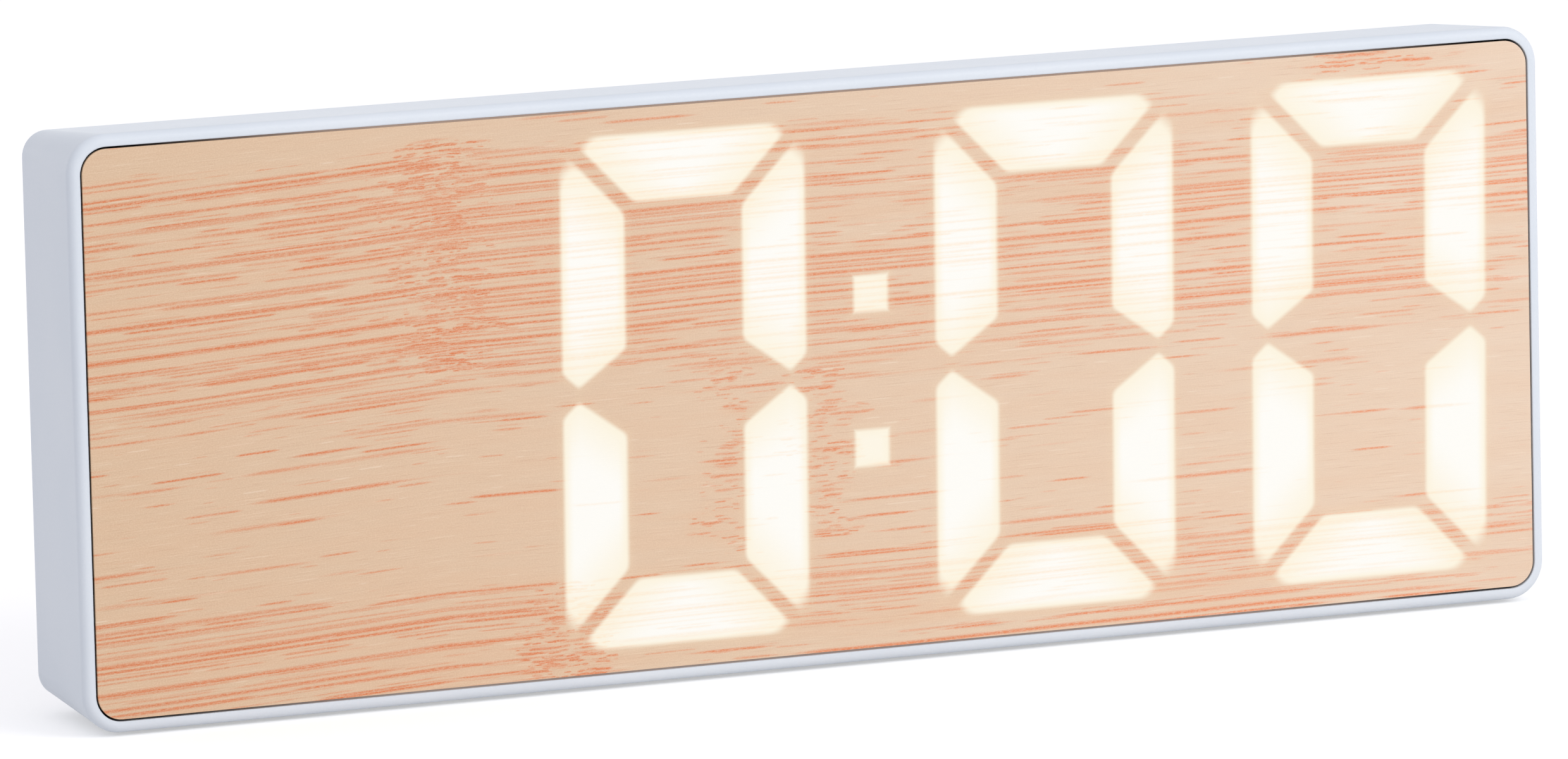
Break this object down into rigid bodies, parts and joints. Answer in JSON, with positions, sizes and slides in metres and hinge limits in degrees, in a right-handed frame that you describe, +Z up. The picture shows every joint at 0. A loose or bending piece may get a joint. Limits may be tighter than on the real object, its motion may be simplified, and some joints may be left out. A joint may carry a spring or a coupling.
{
  "type": "digital led desk clock",
  "caption": "Upright LED desk clock with a wood-look front panel in a tapered white housing, rear buttons, a battery bay with a door and a power inlet.",
  "frame": {"origin": "middle of the clock's box, on the surface that it stands on", "axes": "+X to the viewer's right along the face, +Y from the face to the back, +Z up"},
  "size_m": [0.1618, 0.0222, 0.0602],
  "materials": {
    "housing_plastic": "fine moulded satin",
    "cover_plastic": "fine moulded satin",
    "wood_print": "satin printed film",
    "clear_plate": "polished, milky",
    "black_tape": "matt",
    "diffuser": "milky",
    "mask_plastic": "moulded",
    "circuit_board": "solder mask",
    "led_package": "moulded",
    "black_parts": "moulded",
    "crystal_can": "polished",
    "capacitor_can": "satin",
    "connector_plastic": "moulded",
    "ribbon_film": "smooth",
    "screw_steel": "zinc plated",
    "plunger_plastic": "moulded",
    "inlet_metal": "tin plated",
    "sensor_bead": "epoxy drop",
    "cell_label": "printed sleeve",
    "contact_metal": "nickel plated",
    "lead_insulation": "smooth",
    "button_plastic": "moulded",
    "foot_rubber": "matt"
  },
  "bodies": {
    "clock": {"front_housing": "housing_plastic", "rear_cover": "cover_plastic", "face_film": "wood_print", "face_plate": "clear_plate", "panel_tape": "black_tape", "diffuser_sheet": "diffuser", "light_mask": "mask_plastic", "display_board": "circuit_board", "button_board": "circuit_board", "segment_leds": "led_package", "driver_chip": "black_parts", "buzzer": "black_parts", "switch_bodies": "black_parts", "clock_crystal": "crystal_can", "capacitor": "capacitor_can", "ribbon_sockets": "connector_plastic", "board_ribbon": "ribbon_film", "board_screws": "screw_steel", "cover_screws": "screw_steel", "display_screws": "screw_steel", "power_socket": "inlet_metal", "temperature_sensor": "sensor_bead", "battery_cells": "cell_label", "battery_springs": "contact_metal", "battery_contacts": "contact_metal", "battery_leads": "lead_insulation", "left_foot": "foot_rubber", "right_foot": "foot_rubber"},
    "battery_door": {"battery_door": "cover_plastic"},
    "mode_button": {"mode_button": "button_plastic", "mode_plunger": "plunger_plastic"},
    "set_button": {"set_button": "button_plastic", "set_plunger": "plunger_plastic"},
    "up_button": {"up_button": "button_plastic", "up_plunger": "plunger_plastic"},
    "down_button": {"down_button": "button_plastic", "down_plunger": "plunger_plastic"}
  },
  "joints": [
    {"name": "mode_press", "type": "slide", "parent": "clock", "child": "mode_button", "axis": [0, -1, 0], "range_m": [0, 0.00025], "stiffness_N_per_m": 6000, "springref_m": -0.00005},
    {"name": "set_press", "type": "slide", "parent": "clock", "child": "set_button", "axis": [0, -1, 0], "range_m": [0, 0.00025], "stiffness_N_per_m": 6000, "springref_m": -0.00005},
    {"name": "up_press", "type": "slide", "parent": "clock", "child": "up_button", "axis": [0, -1, 0], "range_m": [0, 0.00025], "stiffness_N_per_m": 6000, "springref_m": -0.00005},
    {"name": "down_press", "type": "slide", "parent": "clock", "child": "down_button", "axis": [0, -1, 0], "range_m": [0, 0.00025], "stiffness_N_per_m": 6000, "springref_m": -0.00005},
    {"name": "door_lift", "type": "slide", "parent": "clock", "child": "battery_door", "axis": [0, 1, 0], "range_m": [0, 0.03]}
  ]
}
